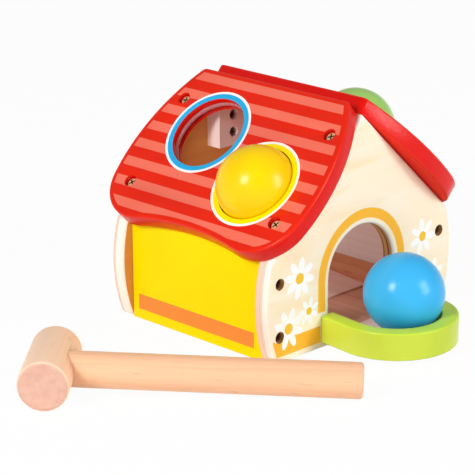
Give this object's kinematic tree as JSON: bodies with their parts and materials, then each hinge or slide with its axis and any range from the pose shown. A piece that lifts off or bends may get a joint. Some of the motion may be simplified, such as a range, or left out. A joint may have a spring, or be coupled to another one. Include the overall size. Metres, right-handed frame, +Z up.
{
  "type": "pounding house toy",
  "caption": "Wooden house toy: a hammer drives balls through ringed holes in the sloping roof, and they roll out of an arched door into a fenced tray.",
  "frame": {"origin": "middle of the house on the underside of the base board, on the table", "axes": "+Z up; -Y is the front with the door; the ridge runs along Y; the hammer lies on the -X side"},
  "size_m": [0.283, 0.2003, 0.1319],
  "materials": {
    "plywood": "clear varnish, satin",
    "yellow_paint": "yellow paint, satin",
    "red_paint": "red paint with printed stripes, satin",
    "clear_plastic": "soft clear plastic",
    "blue_ball_paint": "gloss paint",
    "yellow_ball_paint": "gloss paint",
    "green_ball_paint": "gloss paint",
    "red_ball_paint": "gloss paint",
    "pale_wood": "sanded",
    "green_paint": "green paint, satin",
    "steel": "zinc plated",
    "beech": "sanded, oiled"
  },
  "bodies": {
    "house": {"front_gable": "plywood", "rear_gable": "plywood", "left_wall": "yellow_paint", "right_wall": "yellow_paint", "left_roof_panel": "red_paint", "right_roof_panel": "red_paint", "retaining_ring_blue": "clear_plastic", "retaining_ring_yellow": "clear_plastic", "retaining_ring_green": "clear_plastic", "retaining_ring_red": "clear_plastic", "base_board": "pale_wood", "ramp_wedge": "pale_wood", "left_guide_strip": "pale_wood", "right_guide_strip": "pale_wood", "front_peak_block": "pale_wood", "rear_peak_block": "pale_wood", "tray_floor": "pale_wood", "tray_fence": "green_paint", "roof_screw_left_front_upper": "steel", "roof_screw_left_front_lower": "steel", "roof_screw_left_rear_upper": "steel", "roof_screw_left_rear_lower": "steel", "roof_screw_right_front_upper": "steel", "roof_screw_right_front_lower": "steel", "roof_screw_right_rear_upper": "steel", "roof_screw_right_rear_lower": "steel", "gable_screw_front_left_upper": "steel", "gable_screw_front_left_lower": "steel", "gable_screw_front_right_upper": "steel", "gable_screw_front_right_lower": "steel", "gable_screw_rear_left_upper": "steel", "gable_screw_rear_left_lower": "steel", "gable_screw_rear_right_upper": "steel", "gable_screw_rear_right_lower": "steel", "block_screw_front_upper": "steel", "block_screw_front_lower": "steel", "block_screw_rear_upper": "steel", "block_screw_rear_lower": "steel", "fence_pin_left": "steel", "fence_pin_right": "steel"},
    "yellow_ball": {"yellow_ball": "yellow_ball_paint"},
    "green_ball": {"green_ball": "green_ball_paint"},
    "red_ball": {"red_ball": "red_ball_paint"},
    "blue_ball": {"blue_ball": "blue_ball_paint"},
    "hammer": {"hammer_head": "beech", "hammer_handle": "beech"}
  },
  "joints": [
    {"name": "yellow_ball_push", "type": "slide", "parent": "house", "child": "yellow_ball", "axis": [-0.682, 0, 0.7314], "range_m": [-0.028, 0.025], "deforming": ["retaining_ring_yellow"]},
    {"name": "green_ball_push", "type": "slide", "parent": "house", "child": "green_ball", "axis": [0.682, 0, 0.7314], "range_m": [-0.028, 0.025], "deforming": ["retaining_ring_green"]},
    {"name": "red_ball_push", "type": "slide", "parent": "house", "child": "red_ball", "axis": [0.682, 0, 0.7314], "range_m": [-0.028, 0.025], "deforming": ["retaining_ring_red"]},
    {"name": "blue_ball_roll", "type": "slide", "parent": "house", "child": "blue_ball", "axis": [-0.0614, 0.9981, 0], "range_m": [0, 0.057]},
    {"name": "hammer_lift", "type": "slide", "parent": "house", "child": "hammer", "axis": [0, 0, 1], "range_m": [0, 0.15]}
  ]
}
